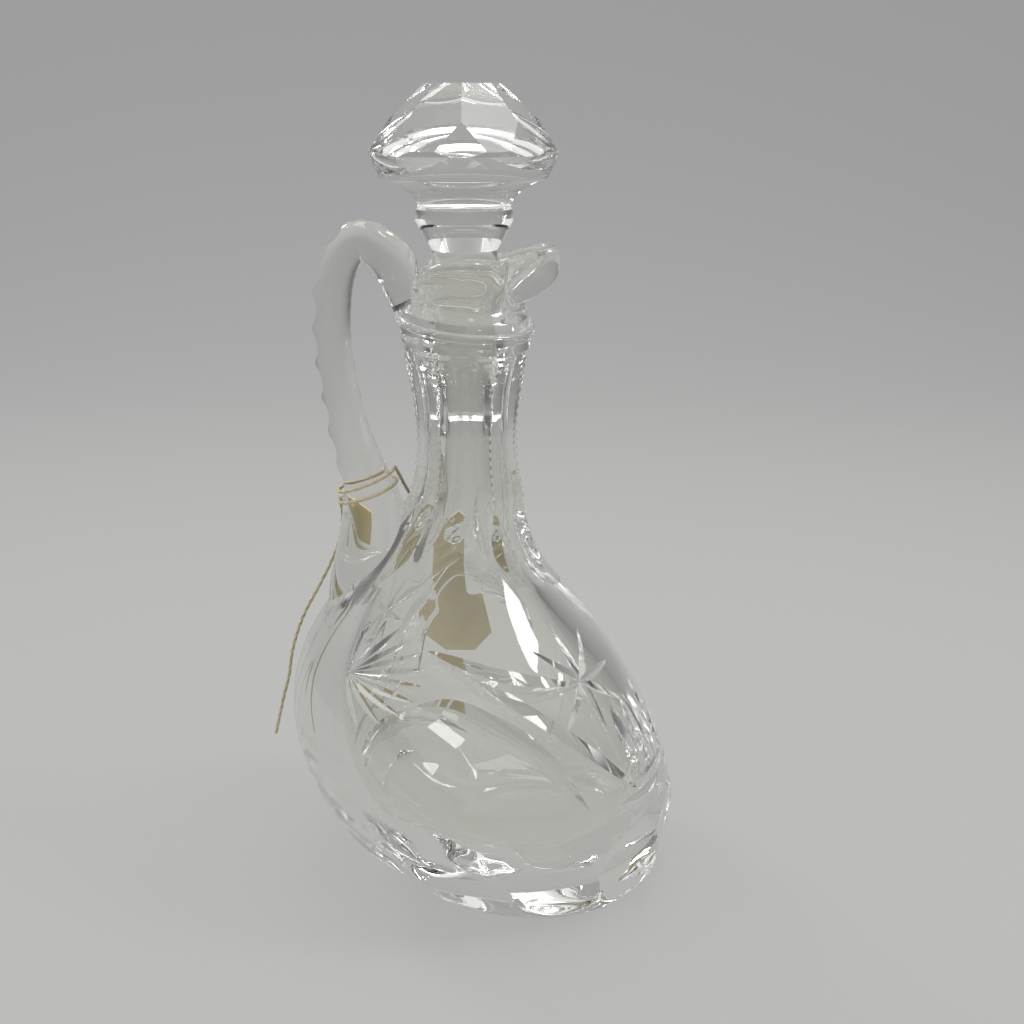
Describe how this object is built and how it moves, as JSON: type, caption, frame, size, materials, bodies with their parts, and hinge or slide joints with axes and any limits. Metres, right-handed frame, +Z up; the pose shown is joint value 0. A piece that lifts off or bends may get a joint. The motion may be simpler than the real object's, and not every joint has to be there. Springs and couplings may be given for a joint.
{
  "type": "glass cruet",
  "caption": "Leaning cut-glass cruet with a trefoil pouring lip, an applied handle and a ground stopper that lifts out; a blank card tag hangs from the handle on a string.",
  "frame": {"origin": "middle of the foot's underside, on the surface that the cruet stands on", "axes": "+Z up along the neck, +X towards the pouring spout, so the handle stands on the -X side; the neck's axis stands 18.7 mm to the -X side of the origin because the body leans"},
  "size_m": [0.1141, 0.1058, 0.2143],
  "materials": {
    "bottle_glass": "clear lead crystal, fire-polished, with wheel-cut and polished mitres",
    "handle_glass": "clear lead crystal, fire-polished, with ground notches along the back",
    "stopper_glass": "clear lead crystal, cut and polished facets, plug ground to a taper",
    "manila_card": "blank manila card, matt",
    "cotton_string": "thin twisted cotton string, undyed"
  },
  "bodies": {
    "cruet": {"bottle": "bottle_glass", "handle": "handle_glass", "tag": "manila_card", "tag_string": "cotton_string"},
    "stopper": {"stopper": "stopper_glass"}
  },
  "joints": [
    {"name": "stopper_lift", "type": "slide", "parent": "cruet", "child": "stopper", "axis": [0, 0, 1], "range_m": [0, 0.06]}
  ]
}
